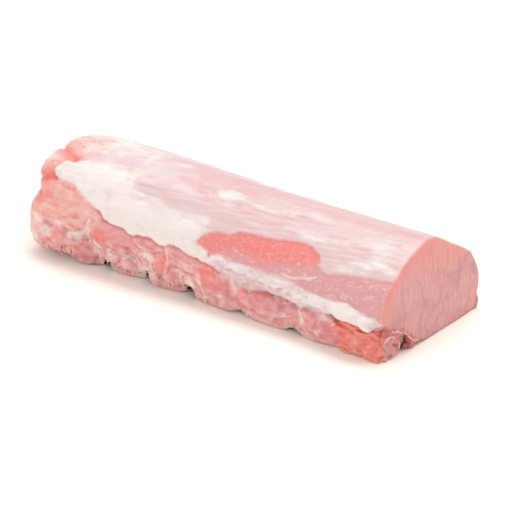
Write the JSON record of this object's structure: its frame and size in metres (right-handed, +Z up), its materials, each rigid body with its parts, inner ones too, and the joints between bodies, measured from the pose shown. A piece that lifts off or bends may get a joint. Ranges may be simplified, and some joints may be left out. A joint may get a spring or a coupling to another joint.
{
  "type": "pork loin",
  "caption": "Raw boneless pork loin, trimmed, with a fat cover, torn side meat, a blunt end and a clean cut face. Lies on its flat underside.",
  "frame": {"origin": "under the middle of the loin's box, on the surface it lies on", "axes": "+X along the loin towards the cut face, +Y towards the far side, away from the side meat where the ribs lay, +Z up"},
  "size_m": [0.324, 0.1288, 0.0755],
  "materials": {
    "meat": "raw and moist"
  },
  "bodies": {
    "root": {"loin": "meat"}
  },
  "joints": []
}
